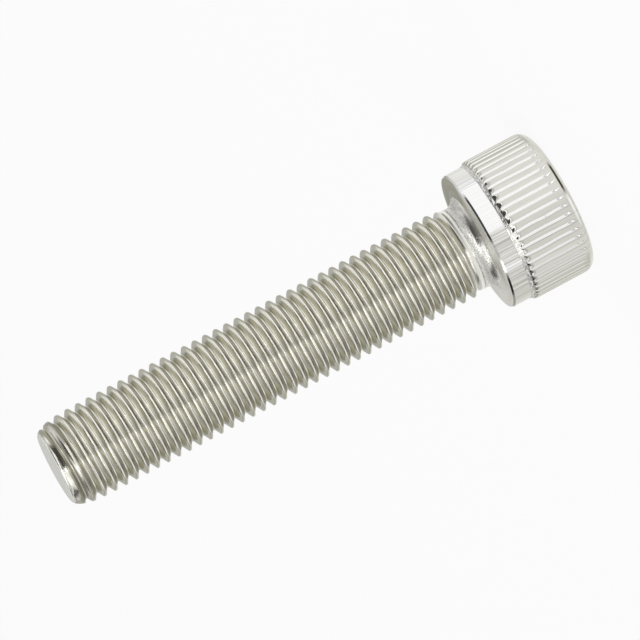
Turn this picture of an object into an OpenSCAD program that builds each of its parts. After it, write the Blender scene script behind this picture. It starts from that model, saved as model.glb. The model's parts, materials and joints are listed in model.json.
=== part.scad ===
// Socket head cap screw, M10 x 1.25 fine pitch, 50 mm long, turned and rolled from one blank.
// The screw stands on its head. The centre of the bearing face is the origin, the shank rises
// along +Z to the tip, and the head lies below z = 0 with its socket opening downwards.

/* [Thread] */
// Diameter over the crests
thread_d = 9.97; // [9.8:0.01:10.2]
// Distance from one crest to the next
pitch = 1.25; // [1:0.05:1.5]
// Length from the bearing face to the tip
shank_l = 50; // [20:1:100]
// Diameter of the flat end of the tip
tip_d = 8.4; // [6:0.1:9]
// Length over which the tip tapers to full crests
tip_l = 2; // [0.6:0.1:4]

/* [Neck] */
// Diameter of the plain neck between thread and head
neck_d = 9.2; // [8.6:0.05:9.7]
// Length of the plain neck
neck_l = 1.5; // [0.8:0.1:10]
// Radius of the fillet where the neck meets the bearing face
neck_fillet_r = 0.6; // [0.3:0.05:0.75]

/* [Head] */
// Diameter over the knurled lands
head_d = 16.1; // [15.8:0.05:18]
// Height of the head
head_h = 9.8; // [9:0.1:12]
// Diameter of the plain band beside the bearing face
band_d = 15.4; // [14.5:0.05:15.5]
// Length of the plain band
band_l = 2; // [1:0.1:4]
// Length of the bevel from the band up to the knurl
bevel_l = 0.4; // [0.2:0.05:1]
// Radius of the edge around the bearing face
bearing_edge_r = 0.3; // [0.1:0.05:0.8]
// Radius of the rounded edge around the top of the head
top_edge_r = 1.25; // [0.5:0.05:2]

/* [Knurl] */
// Number of straight grooves around the head
groove_count = 54; // [24:1:72]
// Width of a groove at the land
groove_w = 0.34; // [0.2:0.02:0.6]
// Depth of a groove
groove_depth = 0.28; // [0.15:0.01:0.33]

/* [Socket] */
// Width of the hexagon across its flats
socket_af = 8; // [5:0.5:8.5]
// Depth of the hexagon's flats
socket_depth = 5.3; // [4:0.1:6.5]
// Diameter of the cone in the socket's floor
floor_d = 7.6; // [4:0.1:7.8]
// Depth of that cone below the flats
floor_depth = 1.6; // [0.5:0.1:2]
// Diameter of the countersunk mouth
mouth_d = 9.5; // [8.6:0.1:11]

/* [Hidden] */
$fn = 108;

// Metal's colour, a light warm grey
metal = [0.78, 0.77, 0.72];
// How far one shape runs into the next, or a cut runs past a face
overlap = 0.5;

thread_r = thread_d / 2;
neck_r = neck_d / 2;
head_r = head_d / 2;
band_r = band_d / 2;
mouth_r = mouth_d / 2;

// Metric thread: 60 degrees between the flanks, a crest an eighth of the pitch wide,
// and a root 0.61343 of the pitch below it
flank_angle = 30;
crest_w = pitch / 8;
thread_depth = 0.61343 * pitch;
root_r = thread_r - thread_depth;
ridge_w = crest_w + 2 * thread_depth * tan(flank_angle);
ridge_count = ceil((shank_l - neck_l) / pitch);

// Countersink of 120 degrees
mouth_half_angle = 60;

// Outline points of one thread ridge whose crest is centred at height z
function ridge(z) = [
    [root_r, z - ridge_w / 2],
    [thread_r, z - crest_w / 2],
    [thread_r, z + crest_w / 2],
    [root_r, z + ridge_w / 2]
];

// Height of the crest of ridge i, counted from the neck
function crest_z(i) = neck_l + (i + 0.5) * pitch;

// What a round edge of radius r leaves outside it, for a corner that points to +X and +Y
module corner_waste(r) {
    difference() {
        square(r + overlap);
        circle(r);
    }
}

// Half section of the head, below the bearing face
module head_section() {
    difference() {
        polygon([
            [0, 0],
            [band_r, 0],
            [band_r, -band_l],
            [head_r, -band_l - bevel_l],
            [head_r, -head_h],
            [0, -head_h]
        ]);
        translate([band_r - bearing_edge_r, -bearing_edge_r])
            corner_waste(bearing_edge_r);
        translate([head_r - top_edge_r, top_edge_r - head_h])
            mirror([0, 1])
                corner_waste(top_edge_r);
    }
}

// Half section of the plain neck, with the fillet that flares into the bearing face
module neck_section() {
    translate([0, -overlap])
        square([neck_r, crest_z(0) + overlap]);
    difference() {
        translate([neck_r - overlap, -overlap])
            square(neck_fillet_r + overlap);
        translate([neck_r + neck_fillet_r, neck_fillet_r])
            circle(neck_fillet_r);
    }
}

// Half section of the thread, cut off at the tip by its taper. The ridges have the thread's
// true pitch and profile and lie level, so each crest is a true cylinder.
module thread_section() {
    taper_run = tip_l / (thread_r - tip_d / 2);
    intersection() {
        polygon(concat(
            [[0, neck_l]],
            [for (i = [0 : ridge_count]) each ridge(crest_z(i))],
            [[0, crest_z(ridge_count) + ridge_w / 2]]
        ));
        polygon([
            [0, 0],
            [thread_r + overlap, 0],
            [thread_r + overlap, shank_l - tip_l - overlap * taper_run],
            [tip_d / 2, shank_l],
            [0, shank_l]
        ]);
    }
}

// V grooves along the head. They open onto the bevel and run out on the rounded top edge.
module knurl_grooves() {
    mouth = groove_w / 2 * (groove_depth + overlap) / groove_depth;
    for (i = [0 : groove_count - 1])
        rotate(i * 360 / groove_count)
            translate([0, 0, -head_h - overlap])
                linear_extrude(head_h - band_l + overlap)
                    polygon([
                        [head_r - groove_depth, 0],
                        [head_r + overlap, -mouth],
                        [head_r + overlap, mouth]
                    ]);
}

// Hexagon socket with its countersunk mouth and conical floor, opening at the head's top
module socket() {
    translate([0, 0, -head_h]) {
        translate([0, 0, -overlap])
            cylinder(r = socket_af / 2 / cos(30), h = socket_depth + overlap, $fn = 6);
        translate([0, 0, socket_depth - overlap])
            cylinder(d = floor_d, h = overlap);
        translate([0, 0, socket_depth])
            cylinder(d1 = floor_d, d2 = 0, h = floor_depth);
        translate([0, 0, -overlap])
            cylinder(
                r1 = mouth_r + overlap * tan(mouth_half_angle),
                r2 = 0,
                h = overlap + mouth_r / tan(mouth_half_angle)
            );
    }
}

module cap_screw() {
    color(metal)
        difference() {
            union() {
                rotate_extrude()
                    head_section();
                rotate_extrude() {
                    neck_section();
                    thread_section();
                }
            }
            knurl_grooves();
            socket();
        }
}

cap_screw();
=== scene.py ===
"""Dresses the socket head cap screw: one closed mesh with the true right-hand thread, the knurled
head and the hexagon socket, its plated steel finishes, and the stage it stands on."""

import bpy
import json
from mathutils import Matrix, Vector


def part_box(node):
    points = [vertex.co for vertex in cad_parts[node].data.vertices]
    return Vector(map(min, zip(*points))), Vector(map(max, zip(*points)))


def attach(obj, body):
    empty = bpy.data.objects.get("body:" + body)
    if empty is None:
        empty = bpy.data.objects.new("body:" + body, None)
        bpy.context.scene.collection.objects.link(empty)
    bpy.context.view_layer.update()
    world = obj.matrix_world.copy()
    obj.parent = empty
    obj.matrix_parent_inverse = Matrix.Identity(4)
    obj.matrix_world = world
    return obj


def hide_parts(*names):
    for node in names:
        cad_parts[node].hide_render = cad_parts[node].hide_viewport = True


bl_info = {
    "name": "Socket head cap screw",
    "version": (1, 0, 0),
    "blender": (4, 5, 0),
    "location": "View3D > Sidebar > Screw",
    "description": "Builds a knurled socket head cap screw with a rolled fine thread, and its stage",
    "category": "Add Mesh",
}

import json
import math

import bpy
import numpy as np
from bpy.props import FloatProperty, FloatVectorProperty, IntProperty, PointerProperty
from bpy.types import Operator, Panel, PropertyGroup
from mathutils import Matrix, Vector

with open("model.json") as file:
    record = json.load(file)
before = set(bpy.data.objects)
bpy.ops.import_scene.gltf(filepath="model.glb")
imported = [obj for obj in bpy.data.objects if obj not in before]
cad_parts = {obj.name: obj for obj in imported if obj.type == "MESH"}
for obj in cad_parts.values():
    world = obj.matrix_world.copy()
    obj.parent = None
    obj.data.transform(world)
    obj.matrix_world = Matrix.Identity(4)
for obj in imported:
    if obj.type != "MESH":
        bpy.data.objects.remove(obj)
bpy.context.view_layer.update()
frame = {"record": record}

MM = 1000
NODE = "cap_screw"
MOUNTS = {m["name"]: m for m in frame["record"]["mounts"]}
LOW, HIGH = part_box(NODE)
HEAD_R = HIGH.x
HEAD_H = -LOW.z
SHANK_L = HIGH.z
THREAD_R = MOUNTS["thread"]["dims"]["r_mm"] / MM
SHARP_ANGLE = math.radians(27)

# The finish of each stretch of the surface, in the order of the mesh's materials
THREAD, END_FACE, NECK, BEARING, BAND, STRIP, KNURL, SOCKET = range(8)

# How finely the surface is divided: steps round the shank, the shares of a pitch at which the
# thread's rows lie, with the crest at 0, and the shares of a knurl pitch at which the head's
# columns lie, with the middle of a land at 0
SHANK_STEPS = 72
RING_ANGLES = np.arange(SHANK_STEPS) * 2 * math.pi / SHANK_STEPS
THREAD_ROWS = np.array(
    [0, 0.03, 0.065, 0.105, 0.25, 0.385, 0.425, 0.463, 0.5, 0.537, 0.575, 0.615, 0.75, 0.895, 0.935, 0.97]
)
KNURL_COLUMNS = np.array(
    [-0.5, -0.46, -0.42, -0.38, -0.345, -0.3, -0.22, -0.11, 0, 0.11, 0.22, 0.3, 0.345, 0.38, 0.42, 0.46]
)


def quantity(name, description, default, least=0, **settings):
    """A number for a property group, 0 or more if nothing else is said."""
    return FloatProperty(name=name, description=description, default=default, min=least, **settings)


def length(name, description, default):
    """A size for a property group, given in millimetres."""
    return quantity(name, description, default / MM, unit="LENGTH", precision=5)


def share(name, description, default):
    """A number from 0 to 1 for a property group."""
    return quantity(name, description, default, max=1)


def colour(what, default):
    """A linear colour for a property group."""
    return FloatVectorProperty(
        name=what.capitalize(), description="Reflection colour of the " + what, default=default,
        min=0, max=1, size=3, subtype="COLOR",
    )


def roughness(what, default):
    """A roughness for a property group."""
    return share("Roughness, " + what, "How blurred the reflections are on the " + what, default)


class ThreadSizes(PropertyGroup):
    """Sizes of the rolled thread, its tip and its run-out."""

    pitch: length("Pitch", "Distance from one crest to the next", 1.25)
    start: share("Start", "Share of a pitch by which the crest line is turned about the axis", 0.868)
    crest: length("Crest width", "Width of the flat on each crest", 0.16)
    crest_round: length("Crest rounding", "How much the edges of the crests are rounded", 0.11)
    root_round: length("Root rounding", "How much the roots are rounded", 0.14)
    tip_r: length("Tip radius", "Radius of the flat end", 4)
    tip_round: length("Tip rounding", "Radius of the edge around the flat end", 0.18)
    taper: length("Taper", "Length in which the crests reach full height behind the tip", 1.2)
    runout_from: length("Run-out start", "Height at which the thread fades into the neck", 1.7)
    runout_to: length("Run-out end", "Height from which the thread has its full depth", 3)


class HeadSizes(PropertyGroup):
    """Sizes of the head, the neck under it and the socket."""

    neck_r: length("Neck radius", "Radius of the plain neck", 4.6)
    fillet_r: length("Fillet", "Radius of the fillet between neck and bearing face", 1.4)
    neck_ridge: length("Neck ridge", "Height of the ridge where thread and neck meet", 0.03)
    bearing_edge: length("Bearing edge", "Width of the chamfer around the bearing face", 0.14)
    bearing_edge_l: length("Bearing edge length", "Length of that chamfer along the axis", 0.2)
    band_r: length("Band radius", "Radius of the plain band", 7.7)
    band_l: length("Band length", "Length of the plain band", 2.02)
    step_r: length("Step radius", "Radius of the rough strip between band and knurl", 7.76)
    step_l: length("Step length", "Length of that strip", 0.41)
    chamfer_r: length("Chamfer radius", "Radius to which the ends of the lands are chamfered", 7.99)
    chamfer_l: length("Chamfer length", "Length of that chamfer", 0.28)
    shoulder_l: length("Shoulder", "Length in which the lands then reach full height", 0.4)
    burr: length("Burr", "Height of the small lumps on the rough strip", 0.07)
    scallop: length("Scallop", "How far the ends of the lands curve in along the head", 0.09)
    top_edge_r: length("Top edge", "Radius of the rounded edge around the top", 1.25)
    socket_af: length("Socket width", "Width of the hexagon across its flats", 8)
    socket_depth: length("Socket depth", "Depth of the hexagon's flats", 5.3)
    floor_r: length("Floor cone", "Radius of the cone in the socket's floor", 3.8)
    floor_depth: length("Floor depth", "Depth of that cone below the flats", 1.6)
    mouth_r: length("Mouth radius", "Radius of the countersunk mouth", 4.75)


class KnurlSizes(PropertyGroup):
    """Sizes of the straight knurl around the head."""

    count: IntProperty(name="Grooves", description="Number of grooves", default=54, min=12)
    depth: length("Depth", "Depth of a groove", 0.28)
    land: share("Land", "Share of a pitch taken by the land", 0.66)
    land_crown: length("Land crown", "How far a land's edges lie below its middle", 0.03)
    waver: length("Waver", "How far the grooves waver to either side", 0.05)
    end: length("End", "Distance of the grooves' end from the bearing face", 9.2)
    end_l: length("End length", "Length over which the grooves rise to their end", 1)
    turn: share("Turn", "Share of a knurl pitch by which the grooves are turned", 0.0)


class Finishes(PropertyGroup):
    """Colours and roughnesses of the plated steel, several of which paint light and shade."""

    # Painted light and shade: the flanks facing the tip take a light colour, those facing the head a dark one
    lit_flank: colour("flanks facing the tip", (0.885, 0.867, 0.785))
    shaded_flank: colour("flanks facing the head", (0.44, 0.422, 0.325))
    burnished: colour("rolled crests and roots", (0.86, 0.855, 0.805))
    # Painted shade, which thread, band and knurl take where their surface turns away from the view
    grazing_shade: colour("crests seen at a low angle", (0.40, 0.388, 0.29))
    end_face: colour("flat end", (0.97, 0.965, 0.875))
    neck: colour("neck and its fillet", (0.84, 0.83, 0.78))
    bearing: colour("bearing face", (0.46, 0.45, 0.375))
    # Painted light on the side of the bearing face towards -X and -Y
    bearing_light: colour("bearing face's light side", (1, 0.99, 0.95))
    # Painted light and shade: the colour of the band's light side and of its darker side
    band: colour("plain band", (1.0, 1.0, 0.995))
    band_shade: colour("band's dull side", (0.74, 0.73, 0.68))
    strip: colour("rough strip", (0.86, 0.85, 0.81))
    land: colour("knurl's lands", (0.745, 0.735, 0.68))
    # Painted highlight on top of the grooves' real polish, also used on the strip's lumps and the head's top
    # edge
    groove: colour("knurl's grooves", (1.0, 1.0, 0.995))
    socket: colour("pressed socket", (0.50, 0.49, 0.46))
    # Dirt in pits, and also the colour of painted shade and a painted dark reflection on the head
    soot_and_shade: colour("dirt in pits and roots", (0.07, 0.06, 0.04))
    thread_roughness: roughness("rolled thread", 0.26)
    turned_roughness: roughness("flat end", 0.17)
    bearing_roughness: roughness("bearing face", 0.48)
    neck_roughness: roughness("neck and its fillet", 0.23)
    band_roughness: roughness("plain band", 0.1)
    strip_roughness: roughness("rough strip where it is dullest", 0.5)
    knurl_roughness: roughness("knurled side", 0.2)
    socket_roughness: roughness("pressed socket", 0.35)


class StageSettings(PropertyGroup):
    """The view, the floor and the light."""

    floor: colour("floor", (0.92, 0.92, 0.92))
    floor_glow: share("Floor glow", "Share of plain white in what the floor shows", 0.9)
    horizon: quantity("Horizon", "Light near the horizon", 0.62)
    zenith: quantity("Zenith", "Light overhead", 0.95)
    canopy: share("Canopy", "How much the dark canopy over the view takes away", 0.94)
    key: quantity("Key", "Power of the lamp overhead", 1.2, unit="POWER")
    front: quantity("Front", "Power of the low wide lamp", 2.0, unit="POWER")
    strip: quantity("Strip", "Power of the narrow lamp", 0.5, unit="POWER")
    elevation: quantity("Elevation", "Height of the view above the floor", math.radians(8.1), subtype="ANGLE")
    roll: quantity("Roll", "Turn of the picture", math.radians(118.25), subtype="ANGLE")
    distance: quantity("Distance", "From the camera to the screw", 0.8, 0.1, unit="LENGTH")
    scale: quantity("Scale", "Pixels of a 640 pixel picture for each millimetre", 9.66, 1)
    aim: FloatVectorProperty(
        name="Aim", description="Where the screw's middle lies in a 640 pixel picture", size=2,
        default=(308.5, 333.0), subtype="XYZ",
    )


# Shapes: each is a stack of rings from the tip's centre, down the outside, into the socket


def smooth_min(a, b, width):
    """The lower of a and b, rounded where they cross: b + (a - b) h - width h (1 - h), where h
    runs from 0 to 1 as b - a goes from -width to width."""
    h = np.clip(0.5 + 0.5 * (b - a) / width, 0, 1)
    return b * (1 - h) + a * h - width * h * (1 - h)


def smooth_max(a, b, width):
    """The higher of a and b, rounded in the same way."""
    return -smooth_min(-a, -b, width)


def smooth_step(low, high, x):
    """Rises from 0 at low to 1 at high as 3 t squared minus 2 t cubed."""
    t = np.clip((x - low) / (high - low), 0, 1)
    return t * t * (3 - 2 * t)


def points(r, z):
    """Points (r, z) of an outline, from arrays or single numbers."""
    return np.stack(np.broadcast_arrays(r, z), axis=-1)


def arc(centre_r, centre_z, radius, start, end, steps):
    """Points on a circle about (centre_r, centre_z), from angle start to angle end in degrees."""
    angle = np.radians(np.linspace(start, end, steps + 1))
    return points(centre_r + radius * np.cos(angle), centre_z + radius * np.sin(angle))


def around(r, z, angle):
    """Points at radius r and height z: x = r cos, y = r sin of the angle."""
    r, z, angle = np.broadcast_arrays(r, z, angle)
    return np.stack([r * np.cos(angle), r * np.sin(angle), z], axis=-1)


class Shell:
    """Points and triangles of one closed surface, gathered ring by ring."""

    def __init__(self):
        self.points = np.zeros((0, 3))
        self.polish = np.zeros(0)
        self.triangles = []
        self.finish = []

    def add(self, points, polish=0):
        """Keeps the points, with how polished each is, and returns their numbers in the same
        arrangement."""
        first = len(self.points)
        flat = np.asarray(points, float).reshape(-1, 3)
        self.points = np.concatenate([self.points, flat])
        self.polish = np.append(self.polish, np.broadcast_to(polish, np.shape(points)[:-1]))
        return first + np.arange(len(flat)).reshape(np.shape(points)[:-1])

    def keep(self, triangles, finish):
        """Keeps the triangles that have three different corners."""
        a, b, c = triangles.T
        whole = (a != b) & (b != c) & (c != a)
        self.triangles.append(triangles[whole])
        self.finish.append(np.full(int(whole.sum()), finish))

    def strip(self, rows, finish):
        """Joins each row of point numbers to the next. Columns run with the angle, rows follow the
        outline, and the faces look outwards."""
        a, b, c, d = rows[:-1, :-1], rows[1:, :-1], rows[1:, 1:], rows[:-1, 1:]
        self.keep(np.stack([a, b, c], -1).reshape(-1, 3), finish)
        self.keep(np.stack([a, c, d], -1).reshape(-1, 3), finish)

    def rings(self, rows, finish):
        """Joins closed rings, each given once round without its first point again."""
        rows = np.asarray(rows)
        self.strip(np.concatenate([rows, rows[:, :1]], axis=1), finish)

    def cap(self, centre, ring, finish, opens):
        """Joins a centre point to a ring, which follows it on the outline if opens is true."""
        following = np.roll(ring, -1)
        centre = np.full_like(ring, centre)
        corners = [centre, ring, following] if opens else [ring, centre, following]
        self.keep(np.stack(corners, -1), finish)

    def widen(self, few, many, finish, opens):
        """Joins a ring of few points to one that has a whole number of times as many."""
        share_of = len(many) // len(few)
        near = np.repeat(few, share_of)
        step = np.roll(many, -1)
        last = np.roll(near, -1)
        outer = np.stack([near, many, step], -1)
        inner = np.stack([near, step, last], -1)
        both = np.concatenate([outer, inner])
        self.keep(both if opens else both[:, [0, 2, 1]], finish)


def thread_fall(turn, thread):
    """How far the thread lies below its crest. Away from a crest the 60 degree flank falls by cot 30
    for each unit along the axis, from the crest's flat down to 0.61343 of a pitch, rounded at both
    ends."""
    cot = 1 / math.tan(math.radians(30))
    depth = 0.61343 * thread.pitch
    from_crest = np.abs((turn + 0.5) % 1 - 0.5) * thread.pitch
    flank = (from_crest - thread.crest / 2) * cot
    fall = smooth_max(flank, 0, thread.crest_round)
    lift = smooth_max(-thread.crest / 2 * cot, 0, thread.crest_round)
    return smooth_min(fall - lift, depth, thread.root_round)


def thread_radius(turn, z, thread, neck_r):
    """Radius of the rolled thread. The taper lowers the crests towards the tip, by a length that
    fades as the exponential of the distance from it, and the run-out fades them into the neck."""
    rounding = 0.00012
    r = THREAD_R - thread_fall(turn, thread)
    taper = THREAD_R - (THREAD_R - thread.tip_r) * np.exp((z - SHANK_L) / thread.taper)
    r = smooth_min(r, taper, rounding)
    full = smooth_step(thread.runout_from, thread.runout_to, z)
    return neck_r + (r - neck_r) * full


def thread_rings(shell, thread, neck_r, top_ring, top_z, bottom_ring, bottom_z):
    """Joins the ring below the tip to the ring above the neck by a helical grid. Row k follows the
    helix z = pitch (turn + angle / full circle), so crests and roots lie along the rows, and after
    one full circle a row runs on as the row one turn up. Rows past an end merge into its ring."""
    pitch = thread.pitch
    angle = np.arange(SHANK_STEPS + 1) * 2 * math.pi / SHANK_STEPS
    first = math.floor(bottom_z / pitch) - 3
    last = math.ceil(top_z / pitch) + 2
    turns = (np.arange(first, last)[:, None] + THREAD_ROWS[None, :]).ravel()
    height = pitch * (turns[:, None] + thread.start + angle[None, :] / (2 * math.pi))
    z = np.clip(height, bottom_z, top_z)
    r = thread_radius(turns[:, None], z, thread, neck_r)
    number = shell.add(around(r, z, angle[None, :]))
    number = np.where(height <= bottom_z, np.append(bottom_ring, bottom_ring[0]), number)
    number = np.where(height >= top_z, np.append(top_ring, top_ring[0]), number)
    one_turn = len(THREAD_ROWS)
    number[:-one_turn, -1] = number[one_turn:, 0]
    number[-one_turn:, -1] = top_ring[0]
    shell.strip(number[::-1], THREAD)


def stack(shell, outline, finish, first=None):
    """Turns an outline of (r, z) points round the axis and joins its rings, with an existing ring
    as its first where one is given. Returns the first and last ring."""
    rows = shell.add(around(outline[:, :1], outline[:, 1:], RING_ANGLES[None, :]))
    if first is not None:
        rows[0] = first
    shell.rings(rows, finish)
    return rows[0], rows[-1]


def knurl_angles(knurl, z):
    """Angles once round the head, closer together at each groove, in one row for each height. Each
    groove wavers about its place as the sine of the height, with a length, a start and a size of its
    own, and the columns between two grooves share their waver in proportion."""
    pitch_angle = 2 * math.pi / knurl.count
    middles = np.arange(knurl.count) * pitch_angle
    place = (middles[:, None] + KNURL_COLUMNS[None, :] * pitch_angle).ravel() + knurl.turn * pitch_angle
    chance = np.random.default_rng(11)
    wave_l = chance.uniform(0.003, 0.009, knurl.count)
    phase = chance.uniform(0, 2 * math.pi, knurl.count)
    size = chance.uniform(0.1, 1, knurl.count)
    waver = size * np.sin(2 * math.pi * z[:, None] / wave_l + phase) * knurl.waver / HEAD_R
    before, after = waver[:, :, None], np.roll(waver, -1, axis=1)[:, :, None]
    across = KNURL_COLUMNS + 0.5
    return place[None, :] + (before * (1 - across) + after * across).reshape(len(z), -1)


def knurl_across(knurl):
    """Place of each column across its land, from 0 in the middle to 0.5 in the grooves, and negative
    on one side."""
    return np.tile(KNURL_COLUMNS, knurl.count)


def knurl_fall(knurl):
    """How far the knurl lies below its lands at those angles. A land falls as the square of the
    distance from its middle, and a groove in straight lines, rounded at its edges and its bottom."""
    edge_rounding, bottom_rounding = 0.00003, 0.00006
    cut_off = 1.2
    across = np.abs(knurl_across(knurl))
    half_land = knurl.land / 2
    groove = (across - half_land) / (0.5 - half_land) * knurl.depth * cut_off
    crown = knurl.land_crown * (across / half_land) ** 2
    return smooth_min(smooth_max(crown, groove, edge_rounding), knurl.depth, bottom_rounding)


def burrs(head, knurl, z):
    """Height of the lumps on the rough strip, as a share of the highest: four chance heights for each
    land and each row, joined by straight lines, and fading out at both ends of the strip as a
    parabola."""
    along = (-z - head.band_l) / head.step_l
    fade = np.clip(4 * along * (1 - along), 0, 1)
    lumps = np.random.default_rng(5).uniform(-1, 1, (len(z), knurl.count * 4))
    column = np.arange(knurl.count * len(KNURL_COLUMNS)) * 4 / len(KNURL_COLUMNS)
    before = np.floor(column).astype(int)
    part = column - before
    after = (before + 1) % (knurl.count * 4)
    return fade[:, None] * (lumps[:, before] * (1 - part) + lumps[:, after] * part)


def head_outline(head):
    """Outline of the head's outside as (r, z): the bearing face's chamfer, the plain band, the
    rough strip, the chamfer of the lands, their shoulder, which rises as 1 - (1 - t) squared, their
    straight part and the rounded top edge. Returns it, and where the strip and the chamfer start."""
    top = head.top_edge_r
    bearing_edge = np.array([[head.band_r - head.bearing_edge, 0], [head.band_r, -head.bearing_edge_l]])
    band_end = np.array([head.band_r, -head.band_l])
    band = points(head.band_r, np.array([0.2, 0.6, 0.94]) * -head.band_l)
    step_end = np.array([head.step_r, band_end[1] - head.step_l])
    chamfer_end = np.array([head.chamfer_r, step_end[1] - head.chamfer_l])
    strip = band_end + (step_end - band_end) * np.linspace(0, 1, 8)[:, None]
    chamfer = step_end + (chamfer_end - step_end) * np.linspace(0, 1, 6)[1:, None]
    t = np.array([0.2, 0.4, 0.7, 1])
    shoulder_r = head.chamfer_r + (HEAD_R - head.chamfer_r) * (1 - (1 - t) ** 2)
    shoulder = points(shoulder_r, chamfer_end[1] - head.shoulder_l * t)
    top_edge = arc(HEAD_R - top, top - HEAD_H, top, 0, -90, 18)
    knurled = points(HEAD_R, np.linspace(shoulder[-1, 1], top - HEAD_H, 12)[1:-1])
    outline = np.concatenate([bearing_edge, band, strip, chamfer, shoulder, knurled, top_edge])
    strip_from = len(bearing_edge) + len(band)
    return outline, strip_from, strip_from + len(strip) - 1


def hexagon_radius(angle, head):
    """Distance from the axis to the hexagon's wall: half the width over the cosine of the angle from
    the middle of the nearest flat. The hexagon has a corner at angle 0."""
    sixth = math.pi / 3
    from_flat = angle % sixth - sixth / 2
    return head.socket_af / 2 / np.cos(from_flat)


def head_side(shell, head, knurl, face_ring):
    """The outside of the head, joined to the bearing face. The grooves are cut into the outline, and their
    depth rises from their end as a smooth step of the height. The ends of the lands are scalloped as the
    cosine of the place across them. The polish is 1 in the grooves and below 0 along one edge of the lands
    towards -X, which marks painted shade there, and on the strip it follows the lumps. Returns the last ring."""
    outline, strip_from, knurl_from = head_outline(head)
    r, z = outline[:, :1], outline[:, 1:]
    angles = knurl_angles(knurl, outline[:, 1])
    across = knurl_across(knurl)
    lumps = burrs(head, knurl, outline[:, 1])
    groove_end, edge_rounding = -knurl.end, 0.000015
    raised = r + lumps * head.burr
    cut = knurl_fall(knurl) * smooth_step(groove_end, groove_end + knurl.end_l, z)
    lowered = smooth_min(raised, HEAD_R - cut, edge_rounding)
    lowered[:strip_from] = r[:strip_from]

    # Polish in the grooves where they are cut deep enough, then painted shade along one edge of the lands,
    # and on the strip the tops of the lumps, which take a painted highlight
    half_land = knurl.land / 2
    in_groove = smooth_step(half_land - 0.02, half_land + 0.01, np.abs(across))
    shiny = smooth_step(groove_end + 0.3 * knurl.end_l, groove_end + 0.8 * knurl.end_l, z)
    polish = in_groove * smooth_step(0.00001, 0.00006, raised - lowered) * shiny
    shaded_edge = smooth_step(0.2, 0.3, across) * smooth_step(0, 0.25, -np.cos(angles))
    knurled = np.arange(len(outline))[:, None] >= knurl_from
    polish = polish - shaded_edge * (1 - in_groove) * knurled
    polish[strip_from:knurl_from] = np.maximum(lumps[strip_from:knurl_from], 0)

    # Scalloped ends, which fade away along the lands
    scallop_l = 0.0015
    past = z + head.band_l + head.step_l
    near_end = smooth_step(0, -head.chamfer_l, past) * smooth_step(-scallop_l, -head.chamfer_l, past)
    curved = z - head.scallop * near_end * np.cos(2 * math.pi * across)
    rows = shell.add(around(lowered, curved, angles), polish)
    shell.widen(face_ring, rows[0], BEARING, opens=True)
    shell.rings(rows[: strip_from + 1], BAND)
    shell.rings(rows[strip_from : knurl_from + 1], STRIP)
    shell.rings(rows[knurl_from:], KNURL)
    return rows[-1]


def screw_shell(thread, head, knurl):
    """The whole screw as one closed shell, in metres."""
    shell = Shell()

    # Flat end, its rounded edge and the ring where the thread starts
    tip_top = SHANK_L - thread.tip_round
    end_r = thread.tip_r - thread.tip_round
    rounded = arc(end_r, tip_top, thread.tip_round, 90, 0, 5)
    flat = points(np.linspace(0.2, 0.95, 5) * end_r, SHANK_L)
    inner, tip_ring = stack(shell, np.concatenate([flat, rounded]), END_FACE)
    centre = shell.add([[0, 0, SHANK_L]])[0]
    shell.cap(centre, inner, END_FACE, opens=True)

    # Neck, fillet and bearing face, whose finish takes in the fillet's last steps
    neck_top = thread.runout_from
    fillet = head.fillet_r
    neck = points(head.neck_r, np.linspace(neck_top, fillet, 5)[:-1])
    neck[1, 0] += head.neck_ridge
    foot = arc(head.neck_r + fillet, fillet, fillet, 180, 270, 10)
    neck_steps = 7
    face_from, face_to = head.neck_r + fillet, head.band_r - head.bearing_edge
    face = points(face_from + (face_to - face_from) * np.array([0.33, 0.67]), 0)
    neck_ring, foot_ring = stack(shell, np.concatenate([neck, foot[: neck_steps + 1]]), NECK)
    _, face_ring = stack(shell, np.concatenate([foot[neck_steps:], face]), BEARING, first=foot_ring)
    thread_rings(shell, thread, head.neck_r, tip_ring, tip_top, neck_ring, neck_top)

    side_ring = head_side(shell, head, knurl, face_ring)

    # Top of the head, countersunk mouth, hexagon and conical floor. The countersink meets each wall
    # at a depth of the mouth's radius less the wall's, times the tangent of 30 degrees. Walls and
    # cone are straight lines from there to the floor and to its middle.
    bottom = -HEAD_H
    middle_r = (head.mouth_r + HEAD_R - head.top_edge_r) / 2
    flat = np.array([[middle_r, bottom], [head.mouth_r, bottom]])
    flat_ring, mouth_ring = stack(shell, flat, BEARING)
    shell.widen(flat_ring, side_ring, BEARING, opens=False)
    wall_r = hexagon_radius(RING_ANGLES, head)
    mouth_end = bottom + (head.mouth_r - wall_r) * math.tan(math.radians(30))
    floor_z = bottom + head.socket_depth
    climb = np.linspace(0, 1, 6)[:, None]
    wall_z = mouth_end[None, :] * (1 - climb) + floor_z * climb
    wall = shell.add(around(wall_r[None, :], wall_z, RING_ANGLES[None, :]))
    cone = np.linspace(1, 0.15, 5)[:, None]
    cone_z = floor_z + head.floor_depth * (1 - cone)
    cone_rows = shell.add(around(head.floor_r * cone, cone_z, RING_ANGLES[None, :]))
    shell.rings(np.concatenate([mouth_ring[None, :], wall, cone_rows]), SOCKET)
    centre = shell.add([[0, 0, floor_z + head.floor_depth]])[0]
    shell.cap(centre, cone_rows[-1], SOCKET, opens=False)
    return shell


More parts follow.
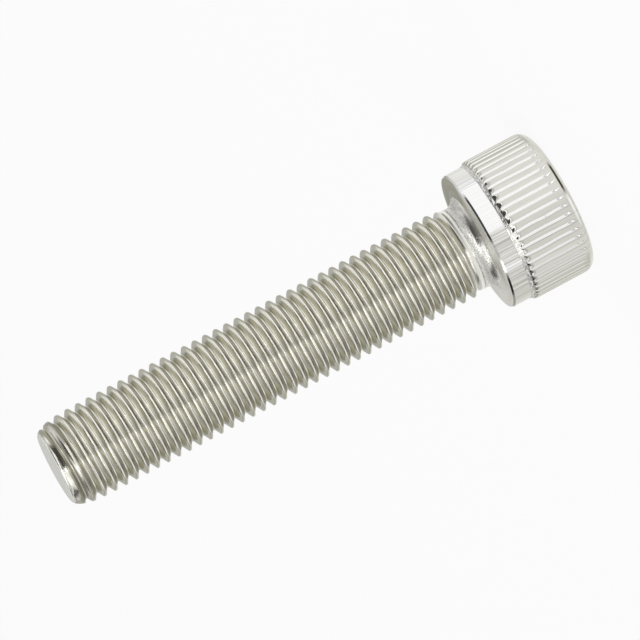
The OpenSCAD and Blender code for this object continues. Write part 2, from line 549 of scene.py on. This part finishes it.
def shell_mesh(name, shell):
    """Puts the shell's points in use and its triangles into a mesh."""
    triangles = np.concatenate(shell.triangles)
    used, corners = np.unique(triangles, return_inverse=True)
    corner_points = shell.points[used]
    corners = corners.reshape(-1).astype(np.int32)
    count = len(triangles)
    mesh = bpy.data.meshes.new(name)
    mesh.vertices.add(len(corner_points))
    mesh.vertices.foreach_set("co", corner_points.astype(np.float32).ravel())
    mesh.loops.add(len(corners))
    mesh.loops.foreach_set("vertex_index", corners)
    mesh.polygons.add(count)
    mesh.polygons.foreach_set("loop_start", np.arange(count, dtype=np.int32) * 3)
    mesh.polygons.foreach_set("loop_total", np.full(count, 3, np.int32))
    mesh.polygons.foreach_set("material_index", np.concatenate(shell.finish).astype(np.int32))
    mesh.update(calc_edges=True)
    mesh.validate()
    polish = mesh.attributes.new("polish", "FLOAT", "POINT")
    polish.data.foreach_set("value", shell.polish[used].astype(np.float32))
    mesh.shade_smooth()
    mesh.set_sharp_from_angle(angle=SHARP_ANGLE)
    return mesh


# Finishes: node groups for the effects that several materials use, then the materials


def node(tree, kind, **settings):
    """A shader node of the kind, with its settings."""
    made = tree.nodes.new("ShaderNode" + kind)
    for key, value in settings.items():
        setattr(made, key, value)
    return made


def tree_of(*values):
    """The node tree of the first socket among the values."""
    return next(value.id_data for value in values if hasattr(value, "is_linked"))


def plug(socket, value):
    """Links a socket to an input, or sets the input to a number or to a colour of three numbers."""
    if hasattr(value, "is_linked"):
        tree_of(socket).links.new(value, socket)
    elif hasattr(value, "__len__"):
        socket.default_value = (*value, 1)
    else:
        socket.default_value = value


def arrange(tree):
    """Puts each node one column to the left of the furthest node that it feeds."""
    column = {made.name: 0 for made in tree.nodes}
    for _ in tree.nodes:
        for link in tree.links:
            source, target = link.from_node.name, link.to_node.name
            column[source] = max(column[source], column[target] + 1)
    filled = {}
    for made in tree.nodes:
        x = column[made.name]
        filled[x] = filled.get(x, 0) + 1
        made.location = (-240 * x, -260 * filled[x])


def maths(operation, *values):
    """A Math node whose inputs are sockets or numbers. Returns its result."""
    made = node(tree_of(*values), "Math", operation=operation)
    for socket, value in zip(made.inputs, values):
        plug(socket, value)
    return made.outputs[0]


def times(first, second):
    """The product of two sockets or numbers."""
    return maths("MULTIPLY", first, second)


def spread(value, low, high, to_low, to_high, smooth=False):
    """A Map Range node that carries value from low and high to to_low and to_high."""
    kind = "SMOOTHSTEP" if smooth else "LINEAR"
    made = node(tree_of(value), "MapRange", interpolation_type=kind)
    for socket, given in zip(made.inputs, (value, low, high, to_low, to_high)):
        plug(socket, given)
    return made.outputs[0]


def blend(amount, first, second, kind="MIX"):
    """A Mix node on colours: sockets, or colours of three numbers."""
    made = node(tree_of(amount, first, second), "Mix", data_type="RGBA", blend_type=kind)
    for socket, value in ((0, amount), (6, first), (7, second)):
        plug(made.inputs[socket], value)
    return made.outputs[2]


def tint(first, second):
    """The product of two colours."""
    return blend(1, first, second, "MULTIPLY")


def ramp(value, *stops):
    """A Color Ramp node on value, with one grey number at each place."""
    made = node(tree_of(value), "ValToRGB")
    elements = made.color_ramp.elements
    while len(elements) < len(stops):
        elements.new(0.5)
    for element, (at, tone) in zip(elements, stops):
        element.position = at
        element.color = (tone, tone, tone, 1)
    plug(made.inputs[0], value)
    return made.outputs[0]


def grazing(tree, low, high):
    """A mask for painted shade, which rises from 0 to 1 as the surface turns away from the view."""
    weight = node(tree, "LayerWeight")
    weight.inputs["Blend"].default_value = 0.5
    return spread(weight.outputs["Facing"], low, high, 0, 1, smooth=True)


def split(vector):
    """The x, y and z of a vector."""
    made = node(tree_of(vector), "SeparateXYZ")
    plug(made.inputs[0], vector)
    return made.outputs


def object_place(tree):
    """The x, y and z of a point on the screw, in millimetres, and all three together."""
    where = node(tree, "TexCoord")
    scaled = node(tree, "VectorMath", operation="SCALE")
    scaled.inputs["Scale"].default_value = MM
    plug(scaled.inputs[0], where.outputs["Object"])
    return (*split(scaled.outputs[0]), scaled.outputs[0])


def new_group(name, inputs, outputs):
    """An empty shader group with number inputs, given with their defaults, and number outputs."""
    tree = bpy.data.node_groups.new(name, "ShaderNodeTree")
    for label, default in inputs:
        socket = tree.interface.new_socket(label, in_out="INPUT", socket_type="NodeSocketFloat")
        socket.default_value = default
    for label in outputs:
        tree.interface.new_socket(label, in_out="OUTPUT", socket_type="NodeSocketFloat")
    return tree, tree.nodes.new("NodeGroupInput").outputs, tree.nodes.new("NodeGroupOutput").inputs


def use_group(tree, name, **values):
    """The outputs of a group, with its number inputs set by name."""
    made = node(tree, "Group", node_tree=bpy.data.node_groups[name])
    for key, value in values.items():
        made.inputs[key].default_value = value
    return made.outputs


def lay_group():
    """How a point lies about the axis: its distance from it, its height, and its turn about it from 0
    to 1, which is the angle of y over x as a share of a circle, plus a half. Distances are in
    millimetres."""
    tree, _, end = new_group("lay_about_axis", (), ("Radius", "Height", "Turn"))
    x, y, z, _ = object_place(tree)
    square = maths("ADD", times(x, x), times(y, y))
    plug(end["Radius"], maths("SQRT", square))
    plug(end["Height"], z)
    angle = maths("ARCTAN2", y, x)
    plug(end["Turn"], maths("MULTIPLY_ADD", angle, 0.5 / math.pi, 0.5))
    arrange(tree)


def lines_group():
    """Fine tool lines and wide patches, from 0 to 1. Along, around and out say how fast the noise
    changes along the axis, around it and away from it, in steps for each millimetre."""
    scales = (("Along", 1.0), ("Around", 1.0), ("Out", 1.0), ("Detail", 4.0))
    tree, start, end = new_group("tool_lines", scales, ("Lines", "Patches"))
    x, y, z, _ = object_place(tree)
    radius = use_group(tree, "lay_about_axis")["Radius"]
    outward = maths("MULTIPLY_ADD", radius, start["Out"], times(x, start["Around"]))
    place = node(tree, "CombineXYZ")
    sides = (outward, times(y, start["Around"]), times(z, start["Along"]))
    for socket, value in zip(place.inputs, sides):
        plug(socket, value)
    noises = (("Lines", 1, start["Detail"], 0.6, 0.3, 0.7), ("Patches", 0.16, 2, 0.5, 0.35, 0.65))
    for label, scale, detail, roughness, low, high in noises:
        noise = node(tree, "TexNoise")
        inputs = {"Vector": place.outputs[0], "Scale": scale, "Detail": detail, "Roughness": roughness}
        for key, value in inputs.items():
            plug(noise.inputs[key], value)
        plug(end[label], spread(noise.outputs[0], low, high, 0, 1))
    arrange(tree)


def pits_group():
    """Small pits and grains, 1 in their middles. Size is in millimetres, amount is the share of the
    cells that hold one, and reach is its radius as a share of the cell."""
    sizes = (("Size", 0.3), ("Amount", 0.1), ("Reach", 0.25))
    tree, start, end = new_group("pits", sizes, ("Pits",))
    cells = node(tree, "TexVoronoi")
    plug(cells.inputs["Vector"], object_place(tree)[3])
    plug(cells.inputs["Scale"], maths("DIVIDE", 1, start["Size"]))
    near = spread(cells.outputs["Distance"], 0, start["Reach"], 1, 0, smooth=True)
    lot = node(tree, "SeparateColor")
    plug(lot.inputs[0], cells.outputs["Color"])
    chosen = maths("LESS_THAN", lot.outputs[0], start["Amount"])
    plug(end["Pits"], times(near, chosen))
    arrange(tree)


def new_material(name):
    """A material with nodes, and its tree."""
    material = bpy.data.materials.new(name)
    material.use_nodes = True
    return material, material.node_tree


def metal(name, roughness):
    """A new material whose shader is a bare metal. Returns the material, its tree and the shader's
    inputs."""
    material, tree = new_material(name)
    shader = tree.nodes["Principled BSDF"].inputs
    shader["Metallic"].default_value = 1
    shader["Roughness"].default_value = roughness
    return material, tree, shader


def dress(shader, body, rough=None, height=None, depth=0.0):
    """Feeds the shader its colour and, where they vary, its roughness and a height of this depth."""
    plug(shader["Base Color"], body)
    if rough is not None:
        plug(shader["Roughness"], rough)
    if height is not None:
        bump = node(tree_of(height), "Bump")
        bump.inputs["Distance"].default_value = depth
        plug(bump.inputs["Height"], height)
        plug(shader["Normal"], bump.outputs[0])


def polish_mask(tree):
    """The mesh's own measure of how polished each place is."""
    return node(tree, "Attribute", attribute_name="polish").outputs["Fac"]


def thread_finish(look, thread):
    """Satin flanks between burnished crests and roots, with rolling lines around them, and painted light and
    shade on the flanks and where the surface turns from the view. The place in a groove is the fraction of
    height / pitch less the turn about the axis and the start: 0 and 1 in the root, 0.5 on the crest, less on
    the flank towards the head, more on the one towards the tip."""
    material, tree, shader = metal("rolled_thread", look.thread_roughness)
    _, height, turn = use_group(tree, "lay_about_axis")
    pitches = maths("DIVIDE", height, thread.pitch * MM)
    turned = maths("SUBTRACT", pitches, turn)
    whole_turns = 61  # Keeps the sum above 0, for its fraction
    part = maths("FRACT", maths("ADD", turned, whole_turns - thread.start))

    # Burnished crests and roots, which fade at the tip and into the neck
    polish = ramp(
        part, (0.115, 1), (0.15, 0), (0.41, 0), (0.44, 1), (0.55, 1), (0.585, 0), (0.8, 0), (0.86, 0.5),
        (0.9, 1),
    )
    end = SHANK_L * MM
    near_tip = spread(height, end - 2.5, end - 0.5, 0, 1)
    # Near the tip the second turn is less burnished, and its colour takes painted shade below
    tip_dulling_and_shade = ramp(near_tip, (0.1, 1), (0.3, 0.3), (0.75, 0.3), (0.9, 1))
    plain_below = thread.runout_from * 1.2 * MM
    plain_to = thread.runout_to * 1.1 * MM
    plain = spread(height, plain_below, plain_to, 1, 0, smooth=True)
    polish = times(polish, times(tip_dulling_and_shade, maths("SUBTRACT", 1, plain)))

    # Flanks: painted shade, a dark colour on the flank facing the head and a light one on the flank facing
    # the tip, with painted shading across them that is lightest in the middle of the upper one, and with
    # lines
    side = spread(part, 0.45, 0.55, 0, 1)
    flank_shading = ramp(part, (0.5, 0.94), (0.62, 0.97), (0.75, 1), (0.84, 0.97))
    lines = use_group(tree, "tool_lines", Along=14, Around=0.5, Out=14, Detail=3)["Lines"]
    grain = use_group(tree, "pits", Size=0.22, Amount=0.12, Reach=0.3)["Pits"]
    flank = blend(side, look.shaded_flank, look.lit_flank)
    lined = tint(tint(flank, flank_shading), spread(lines, 0, 1, 0.93, 1.05))
    # Painted shade: flanks and crests take the dark grazing colour where the surface turns away from the view
    away = times(grazing(tree, 0.52, 0.7), 0.75)
    bright = blend(grazing(tree, 0.36, 0.56), look.burnished, look.grazing_shade)
    wound = blend(polish, blend(away, lined, look.grazing_shade), bright)

    # Painted light and shade in the tone around the shank, painted shade on the turns at the tip, and the
    # neck's tone below
    tone = ramp(
        turn, (0.09, 1), (0.12, 0.96), (0.146, 0.83), (0.171, 0.92), (0.2, 0.98), (0.218, 0.95),
        (0.237, 0.81), (0.257, 0.89), (0.278, 1), (0.3, 1.08), (0.322, 1.12), (0.345, 1.08), (0.41, 1.05),
        (0.46, 1),
    )
    shaded = tint(tint(wound, spread(tip_dulling_and_shade, 0.3, 1, 0.8, 1)), tone)
    body = blend(plain, shaded, look.neck)
    body = blend(times(grain, 0.3), body, look.soot_and_shade)
    rough = spread(polish, 0, 1, look.thread_roughness, look.thread_roughness * 0.55)
    dress(shader, body, rough, lines, 0.000003)
    return material


def turned_finish(name, base, roughness, contrast, grain=0.0, depth=0.000003, light=None, **scales):
    """A turned or plated face with its tool lines. Contrast is how much darker their troughs are, depth how
    deep they are, grain how much darker the small spots are, and light a colour of painted light that the
    face takes towards -X and -Y, if it isn't the base. The scales are those of the lines."""
    material, tree, shader = metal(name, roughness)
    lines, patches = use_group(tree, "tool_lines", **scales)
    spots = use_group(tree, "pits", Size=0.14, Amount=0.5, Reach=0.5)["Pits"]
    both = times(lines, spread(patches, 0, 1, 0.5, 1))
    # Painted light: the face turns to its light colour towards -X and -Y
    if light is not None:
        x, y, _, _ = object_place(tree)
        left = spread(x, -6, 2, 0.65, 0)
        front = spread(y, -5.5, -3.5, 1, 0)
        base = blend(maths("MAXIMUM", left, front), base, light)
    lined = tint(base, spread(both, 0, 1, 1, 1 - contrast))
    speckled = tint(lined, spread(spots, 0, 1, 1, 1 - grain))
    rough = spread(patches, 0, 1, roughness, roughness * 1.3)
    dress(shader, speckled, rough, maths("MULTIPLY_ADD", spots, grain, lines), depth)
    return material


def band_finish(look):
    """The plain band, with its light and shade painted by the turn about the axis: painted light on one side,
    streaks along the axis next to it, and painted shade beyond, with small smudges low down beside the strip."""
    material, tree, shader = metal("plain_band", look.band_roughness)
    _, height, turn = use_group(tree, "lay_about_axis")
    # Painted light and shade around the band by the turn about the axis
    darkened = ramp(
        turn, (0.155, 1), (0.16, 0.1), (0.17, 0.1), (0.175, 0.8), (0.25, 0.8), (0.256, 0),
        (0.45, 0), (0.47, 1),
    )
    streaks = ramp(
        turn, (0.155, 0.7), (0.17, 0.35), (0.18, 0.7), (0.25, 0.7), (0.26, 0.12), (0.37, 0.12),
        (0.38, 0.6), (0.5, 0.3),
    )
    lines = use_group(tree, "tool_lines", Along=0.12, Around=6, Out=0, Detail=4)["Lines"]
    tone = blend(darkened, look.band, look.band_shade)
    streaked = tint(tone, spread(lines, 0.1, 0.9, 1.1, 0.4))

    # Smudges beside the strip, then painted shade that dims the chamfer on the darker side
    spots = use_group(tree, "pits", Size=0.2, Amount=0.45, Reach=0.5)["Pits"]
    low = ramp(turn, (0.07, 0), (0.09, 1), (0.15, 1), (0.165, 0))
    dirt = times(times(low, spread(height, -1.3, -2.0, 0, 0.7)), spots)
    body = blend(dirt, blend(streaks, tone, streaked), look.soot_and_shade)
    edge = times(spread(height, -0.25, -0.15, 0, 0.35), darkened)
    body = tint(body, spread(edge, 0, 1, 1, 0))
    # Painted shade where the band turns away from the view
    turned_away = times(grazing(tree, 0.34, 0.5), 0.25)
    dress(shader, blend(turned_away, body, look.grazing_shade), None, lines, 0.000003)
    return material


def strip_finish(look):
    """The rough strip between band and knurl: matt, with a painted highlight on the tops of its lumps,
    smoother in one stretch, and its tone painted lighter and darker by the turn about the axis. Its roughness
    also follows the turn."""
    material, tree, shader = metal("rough_strip", look.strip_roughness)
    turn = use_group(tree, "lay_about_axis")["Turn"]
    # Painted light and shade in the strip's tone by the turn about the axis
    tone = ramp(
        turn, (0.07, 0.8), (0.1, 0.65), (0.15, 0.68), (0.18, 0.95), (0.21, 1), (0.228, 1), (0.25, 0.68),
        (0.3, 0.42), (0.34, 0.55), (0.38, 0.7), (0.43, 0.85),
    )
    rough = ramp(turn, (0.07, 1), (0.15, 0.8), (0.25, 0.44), (0.34, 0.5), (0.4, 1))
    spots = use_group(tree, "pits", Size=0.24, Amount=0.5, Reach=0.45)["Pits"]
    # Painted highlight on the tops of the lumps
    painted_highlight = spread(polish_mask(tree), 0.05, 0.4, 0, 1)
    body = blend(painted_highlight, tint(look.strip, tone), look.groove)
    soot_and_shade = times(spots, spread(tone, 0.4, 1, 0.8, 0.1))
    dress(shader, blend(soot_and_shade, body, look.soot_and_shade), times(rough, look.strip_roughness))
    return material


def knurl_finish(look):
    """Light lands with faint lines along them, between bright grooves, with a few small pits. The grooves'
    whiter colour is a painted highlight on top of their real polish. The polish is 1 in the grooves, 0 on the
    lands and below 0 along one edge of some lands, which takes painted shade. Tones follow the turn about the
    axis as painted light and shade."""
    material, tree, shader = metal("knurled_side", look.knurl_roughness)
    polish = polish_mask(tree)
    _, height, turn = use_group(tree, "lay_about_axis")
    lines, patches = use_group(tree, "tool_lines", Along=0.35, Around=9, Out=0, Detail=3)
    pits = use_group(tree, "pits", Size=0.45, Amount=0.06, Reach=0.22)["Pits"]

    # Lands and grooves, each with painted light and shade in its tone by turn
    glow = ramp(
        turn, (0.05, 1), (0.12, 0.94), (0.2, 0.87), (0.24, 0.88), (0.262, 0.91), (0.274, 1), (0.34, 0.99),
        (0.4, 0.98),
    )
    shine = ramp(turn, (0.06, 0.72), (0.11, 0.78), (0.15, 0.93), (0.2, 0.97), (0.3, 1))
    land = tint(tint(look.land, glow), spread(lines, 0, 1, 1.03, 0.94))
    patched = tint(land, spread(patches, 0, 1, 0.97, 1.05))
    # Painted shade along one edge of the lands, where the polish is below 0
    edged = tint(patched, spread(polish, -1, 0, 0.62, 1))
    # Painted shade where the side turns away from the view, weaker near the top edge
    far = times(grazing(tree, 0.36, 0.6), spread(height, -9.1, -8.9, 0.15, 0.75))
    away = blend(far, edged, look.grazing_shade)
    in_groove = spread(polish, 0, 1, 0, 1)
    grooved = blend(in_groove, away, tint(look.groove, shine))

    # A narrow line around the head's top edge, slightly oblique: a painted dark reflection of the floor's
    # shadow in one stretch, and a painted highlight in the next
    oblique = maths("ADD", height, spread(turn, 0.18, 0.33, -0.02, -0.05))
    line = ramp(spread(oblique, -9.48, -9.16, 0, 1), (0, 0), (0.12, 1), (0.82, 1), (0.95, 0))
    painted_dark_reflection = times(line, ramp(turn, (0.248, 0), (0.268, 1), (0.32, 1), (0.335, 0)))
    painted_highlight = ramp(turn, (0.17, 0), (0.19, 0.5), (0.235, 0.8), (0.25, 0.4), (0.262, 0))
    body = blend(times(line, painted_highlight), grooved, look.groove)

    # Painted shade and dirt: the painted dark reflection, the dirt in the pits, and painted shadow at the
    # ends of the lands in one stretch
    soot_and_shade = maths("MAXIMUM", painted_dark_reflection, times(pits, 0.5))
    low_end = ramp(spread(height, -2.74, -2.34, 0, 1), (0, 0), (0.3, 1), (0.8, 1), (1, 0.4))
    low_side = ramp(turn, (0.08, 0), (0.1, 1), (0.165, 1), (0.19, 0))
    on_land = spread(polish, 0.2, 0.7, 0.45, 0)
    land_end_shadow = times(times(low_end, low_side), on_land)
    soot_and_shade = maths("MAXIMUM", soot_and_shade, land_end_shadow)
    rough = spread(polish, 0, 1, look.knurl_roughness, look.knurl_roughness * 0.7)
    dress(shader, blend(soot_and_shade, body, look.soot_and_shade), rough, lines, 0.000002)
    return material


def socket_finish(look):
    """The pressed socket: matt, with lines along its walls."""
    material, tree, shader = metal("pressed_socket", look.socket_roughness)
    lines, patches = use_group(tree, "tool_lines", Along=0.4, Around=6, Out=0, Detail=4)
    shade = spread(lines, 0, 1, 0.75, 1.05)
    low, high = look.socket_roughness * 0.8, look.socket_roughness * 1.2
    rough = spread(patches, 0, 1, low, high)
    dress(shader, tint(look.socket, shade), rough, lines, 0.000005)
    return material


def screw_finishes(look, thread):
    """The finishes in the order of the mesh's materials."""
    lay_group()
    lines_group()
    pits_group()
    finishes = (
        thread_finish(look, thread),
        turned_finish(
            "end_face", look.end_face, look.turned_roughness, 0.35, grain=0.25, Along=0, Around=2.2, Out=0
        ),
        turned_finish(
            "plain_neck", look.neck, look.neck_roughness, 0.5, grain=0.8, depth=0.000015,
            Along=5, Around=0.8, Out=0,
        ),
        turned_finish(
            "bearing_face", look.bearing, look.bearing_roughness, 0.15, light=look.bearing_light,
            Along=1, Around=0.3, Out=8,
        ),
        band_finish(look),
        strip_finish(look),
        knurl_finish(look),
        socket_finish(look),
    )
    for material in finishes:
        arrange(material.node_tree)
    return finishes


class MESH_OT_cap_screw(Operator):
    """Builds the screw as one closed mesh in the place of its solid"""

    bl_idname = "mesh.cap_screw"
    bl_label = "Cap screw"
    bl_options = {"REGISTER", "UNDO"}

    def execute(self, context):
        scene = context.scene
        shell = screw_shell(scene.screw_thread, scene.screw_head, scene.screw_knurl)
        mesh = shell_mesh("cap_screw_metal", shell)
        for material in screw_finishes(scene.screw_finishes, scene.screw_thread):
            mesh.materials.append(material)
        screw = put(scene, "cap_screw_metal", mesh)
        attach(screw, "root")
        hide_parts(NODE)
        return {"FINISHED"}


# Stage: camera, floor, sky and lamps


def put(scene, name, data):
    """A new object in the scene."""
    made = bpy.data.objects.new(name, data)
    scene.collection.objects.link(made)
    return made


def look_along(forward, up_in_picture):
    """A turn whose -Z looks along forward and whose Y is up in the picture."""
    back = -forward.normalized()
    right = up_in_picture.cross(back).normalized()
    up = back.cross(right)
    return Matrix((right, up, back)).transposed()


def make_camera(scene, stage):
    """The camera looks along +Y and down by the elevation, rolled so that the tip, which stands
    up, points to the lower left of the picture."""
    picture = 640
    level = stage.elevation
    forward = Vector((0, math.cos(level), -math.sin(level)))
    up_world = Vector((0, math.sin(level), math.cos(level)))
    right_world = Vector((1, 0, 0))
    # In the picture the world's up points to the lower left: at roll from the picture's up
    cos_roll, sin_roll = math.cos(stage.roll), math.sin(stage.roll)
    up = up_world * cos_roll + right_world * sin_roll
    right = up_world * -sin_roll + right_world * cos_roll
    metres = 1 / MM / stage.scale
    aim = Vector((0, 0, (SHANK_L - HEAD_H) / 2))
    aim_x, aim_y = stage.aim
    offset = aim + right * (picture / 2 - aim_x) * metres + up * (aim_y - picture / 2) * metres
    sensor = 36
    data = bpy.data.cameras.new("view")
    data.sensor_width = sensor
    data.lens = sensor * stage.distance / (picture * metres)
    data.clip_start = 0.05
    data.clip_end = 60
    place = look_along(forward, up).to_4x4()
    place.translation = offset - forward * stage.distance
    scene.camera = put(scene, "view", data)
    scene.camera.matrix_world = place


def make_floor(scene, stage):
    """A wide plain floor at the height of the head's top face. What sees it straight, by a
    reflection or through glass finds a share of plain white, and the rest keeps the shadows."""
    half = 12
    mesh = bpy.data.meshes.new("floor")
    corners = [(x, y, -HEAD_H) for x, y in ((-half, -half), (half, -half), (half, half), (-half, half))]
    mesh.from_pydata(corners, [], [(0, 1, 2, 3)])
    material, tree = new_material("pale_floor")
    tree.nodes.clear()
    matt = node(tree, "BsdfDiffuse")
    matt.inputs["Color"].default_value = (*stage.floor, 1)
    white = node(tree, "Emission")
    ray = node(tree, "LightPath").outputs
    seen = maths("MAXIMUM", ray["Is Camera Ray"], ray["Is Glossy Ray"])
    seen = maths("MAXIMUM", seen, ray["Is Transmission Ray"])
    mix = node(tree, "MixShader")
    glow = times(seen, stage.floor_glow)
    for socket, value in zip(mix.inputs, (glow, matt.outputs[0], white.outputs[0])):
        plug(socket, value)
    out = node(tree, "OutputMaterial")
    plug(out.inputs["Surface"], mix.outputs[0])
    arrange(tree)
    mesh.materials.append(material)
    floor = put(scene, "floor", mesh)


def within(value, low, high, soft):
    """A mask that is 1 where value lies from low to high, and fades to 0 over soft outside."""
    rise = spread(value, low - soft, low, 0, 1, smooth=True)
    fall = spread(value, high + soft, high, 0, 1, smooth=True)
    return times(rise, fall)


def make_sky(scene, stage):
    """Soft light from all round: white at the horizon, brighter overhead, with a dark canopy of two
    sheets above the side of the view, which gives the polished edges their dark lines."""
    world = bpy.data.worlds.new("soft_room")
    scene.world = world
    world.use_nodes = True
    tree = world.node_tree
    background = tree.nodes["Background"].inputs
    background["Color"].default_value = (1, 1, 1, 1)
    x, y, z = split(node(tree, "TexCoord").outputs["Generated"])
    low, high = 0.12, 0.75
    light = spread(z, low, high, stage.horizon, stage.zenith, smooth=True)
    # Each sheet lies between two values of the direction's x and of its y, and above one of its z
    sheets = ((-0.12, 0.72, -0.8, 0.12, 0.5), (-0.9, -0.5, 0.05, 0.62, 0.46))
    above_all = 2
    for x_low, x_high, y_low, y_high, z_low in sheets:
        across = within(x, x_low, x_high, 0.05)
        along = within(y, y_low, y_high, 0.05)
        overhead = within(z, z_low, above_all, 0.1)
        sheet = times(times(across, along), overhead)
        light = times(light, spread(sheet, 0, 1, 1, 1 - stage.canopy))
    plug(background["Strength"], light)
    arrange(tree)


def add_lamp(scene, name, place, size, size_y):
    """A soft rectangular lamp, named like its power, that shines from its place to the shank."""
    data = bpy.data.lights.new(name, "AREA")
    data.shape = "RECTANGLE"
    data.size = size
    data.size_y = size_y
    data.energy = getattr(scene.screw_stage, name)
    aim = Vector((0, 0, 0.02))
    turn = (aim - Vector(place)).to_track_quat("-Z", "Y")
    lamp = put(scene, name, data)
    lamp.matrix_world = Matrix.Translation(place) @ turn.to_matrix().to_4x4()


class SCENE_OT_screw_stage(Operator):
    """Sets the camera, the floor, the sky and the lamps"""

    bl_idname = "scene.screw_stage"
    bl_label = "Stage"
    bl_options = {"REGISTER", "UNDO"}

    def execute(self, context):
        scene = context.scene
        stage = scene.screw_stage
        scene.view_settings.view_transform = "Standard"
        make_camera(scene, stage)
        make_floor(scene, stage)
        make_sky(scene, stage)
        add_lamp(scene, "key", (-0.36, -0.12, 0.95), 0.3, 0.8)
        add_lamp(scene, "front", (0.1, -1.0, 0.4), 1.6, 0.35)
        add_lamp(scene, "strip", (-0.26, -0.72, 0.62), 0.12, 0.6)
        return {"FINISHED"}


class VIEW3D_PT_screw(Panel):
    """Lists the screw's settings and its two operators"""

    bl_label = "Cap screw"
    bl_space_type = "VIEW_3D"
    bl_region_type = "UI"
    bl_category = "Screw"

    def draw(self, context):
        for name in GROUPS:
            box = self.layout.box()
            settings = getattr(context.scene, name)
            for key in settings.__annotations__:
                box.prop(settings, key)
        self.layout.operator(MESH_OT_cap_screw.bl_idname)
        self.layout.operator(SCENE_OT_screw_stage.bl_idname)


GROUPS = {
    "screw_thread": ThreadSizes,
    "screw_head": HeadSizes,
    "screw_knurl": KnurlSizes,
    "screw_finishes": Finishes,
    "screw_stage": StageSettings,
}
CLASSES = (*GROUPS.values(), MESH_OT_cap_screw, SCENE_OT_screw_stage, VIEW3D_PT_screw)


def register():
    for cls in CLASSES:
        bpy.utils.register_class(cls)
    for name, cls in GROUPS.items():
        setattr(bpy.types.Scene, name, PointerProperty(type=cls))


def unregister():
    for name in GROUPS:
        delattr(bpy.types.Scene, name)
    for cls in reversed(CLASSES):
        bpy.utils.unregister_class(cls)


def main():
    """Registers the classes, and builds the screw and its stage."""
    register()
    bpy.ops.mesh.cap_screw()
    bpy.ops.scene.screw_stage()


if __name__ == "__main__":
    main()
